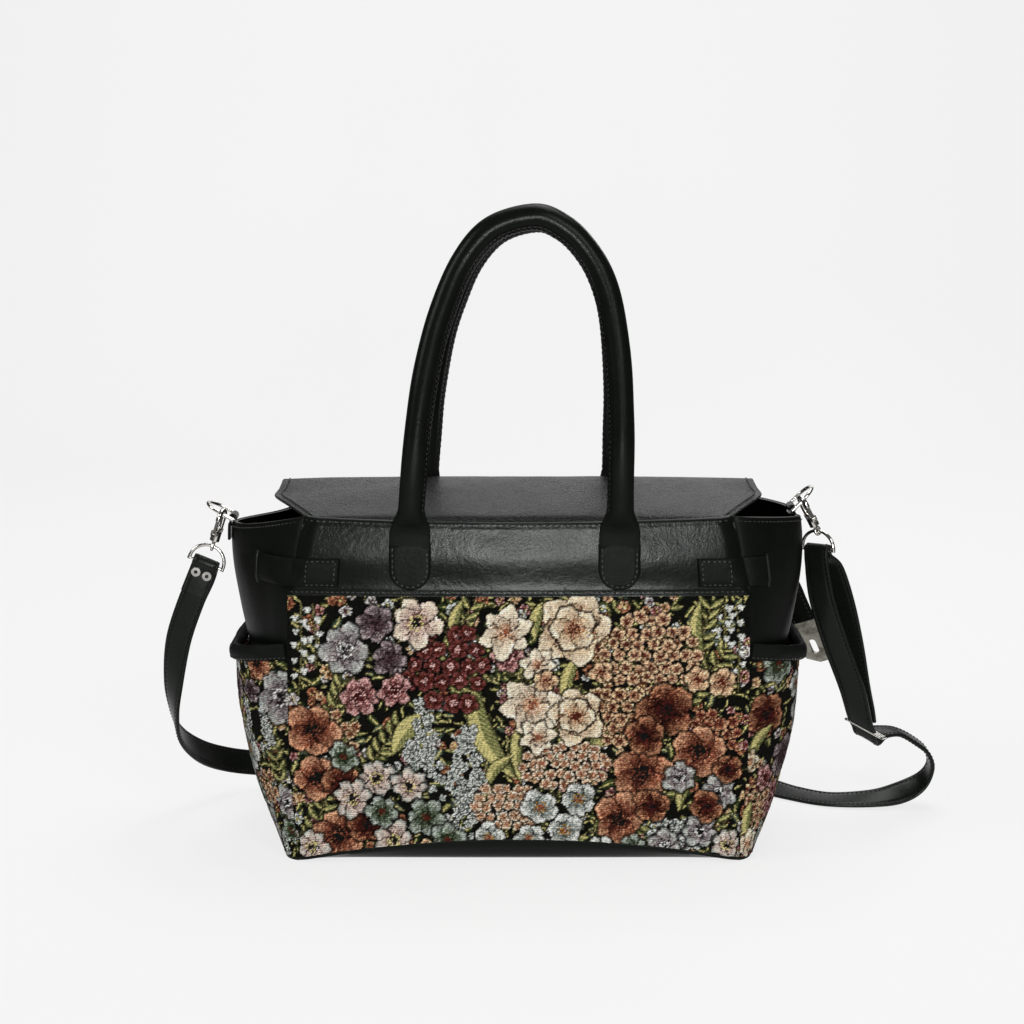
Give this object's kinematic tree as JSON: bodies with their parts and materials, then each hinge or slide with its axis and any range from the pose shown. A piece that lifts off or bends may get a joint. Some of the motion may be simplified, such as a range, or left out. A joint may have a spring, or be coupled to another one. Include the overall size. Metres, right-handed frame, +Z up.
{
  "type": "tote bag",
  "caption": "Soft tote bag with woven floral panels, leather yokes and folded gussets, side pockets, rolled handles, a tucked-in flap and a clip-on shoulder strap.",
  "frame": {"origin": "middle of the flat base, on the floor", "axes": "+Z up, +X towards the belt side, the front faces -Y"},
  "size_m": [0.6046, 0.2037, 0.4809],
  "materials": {
    "leather": "soft grained black leather with a low sheen",
    "tapestry": "ribbed woven tapestry with flowers on a black ground",
    "lining_cloth": "plain dark cloth",
    "aged_metal": "dull aged plate",
    "nickel": "polished nickel plate"
  },
  "bodies": {
    "bag": {"base_panel": "leather", "front_yoke": "leather", "back_yoke": "leather", "left_gusset": "leather", "right_gusset": "leather", "left_pocket_binding": "leather", "right_pocket_binding": "leather", "rim_facing": "leather", "flap": "leather", "front_handle": "leather", "back_handle": "leather", "front_left_handle_tab": "leather", "front_right_handle_tab": "leather", "back_left_handle_tab": "leather", "back_right_handle_tab": "leather", "left_keeper": "leather", "right_keeper": "leather", "belt_strap": "leather", "left_ring_tab": "leather", "right_ring_tab": "leather", "shoulder_strap": "leather", "front_tapestry": "tapestry", "back_tapestry": "tapestry", "left_pocket": "tapestry", "right_pocket": "tapestry", "lining": "lining_cloth", "lining_floor": "lining_cloth", "belt_plate": "aged_metal", "belt_rivets": "aged_metal", "strap_slider": "nickel", "strap_rivets": "nickel"},
    "left_d_ring": {"left_d_ring": "nickel"},
    "left_strap_ring": {"left_strap_ring": "nickel", "left_swivel": "nickel"},
    "left_hook": {"left_hook": "nickel", "left_gate_pin": "nickel"},
    "left_gate": {"left_gate": "nickel"},
    "right_d_ring": {"right_d_ring": "nickel"},
    "right_strap_ring": {"right_strap_ring": "nickel", "right_swivel": "nickel"},
    "right_hook": {"right_hook": "nickel", "right_gate_pin": "nickel"},
    "right_gate": {"right_gate": "nickel"}
  },
  "joints": [
    {"name": "left_d_ring_drop", "type": "hinge", "parent": "bag", "child": "left_d_ring", "pos_m": [-0.21479, 0, 0.24561], "axis": [0, 1, 0], "range_deg": [-25, 0]},
    {"name": "left_strap_ring_swing", "type": "hinge", "parent": "bag", "child": "left_strap_ring", "pos_m": [-0.23511, -0.0114, 0.21188], "axis": [0.9205, 0, -0.3907], "range_deg": [-1.5, 2]},
    {"name": "left_hook_swivel", "type": "hinge", "parent": "left_strap_ring", "child": "left_hook", "pos_m": [-0.22951, -0.0114, 0.22509], "axis": [0.309, 0, 0.9511], "range_deg": [-12, 12]},
    {"name": "left_gate_press", "type": "hinge", "parent": "left_hook", "child": "left_gate", "pos_m": [-0.22712, -0.0179, 0.23615], "axis": [-0.9366, 0.1736, 0.3043], "range_deg": [0, 18], "stiffness_Nm_per_rad": 0.02, "springref_deg": -5.73},
    {"name": "right_d_ring_drop", "type": "hinge", "parent": "bag", "child": "right_d_ring", "pos_m": [0.20579, 0, 0.25261], "axis": [0, -1, 0], "range_deg": [-25, 0]},
    {"name": "right_strap_ring_swing", "type": "hinge", "parent": "bag", "child": "right_strap_ring", "pos_m": [0.2254, -0.0114, 0.22257], "axis": [0.7642, -0.6428, 0.0534], "range_deg": [-0.5, 2]},
    {"name": "right_hook_swivel", "type": "hinge", "parent": "right_strap_ring", "child": "right_hook", "pos_m": [0.22438, -0.0114, 0.23688], "axis": [-0.4695, 0, 0.8829], "range_deg": [-12, 4]},
    {"name": "right_gate_press", "type": "hinge", "parent": "right_hook", "child": "right_gate", "pos_m": [0.22011, -0.0179, 0.24735], "axis": [-0.8695, -0.1736, -0.4623], "range_deg": [0, 18], "stiffness_Nm_per_rad": 0.02, "springref_deg": -5.73}
  ]
}
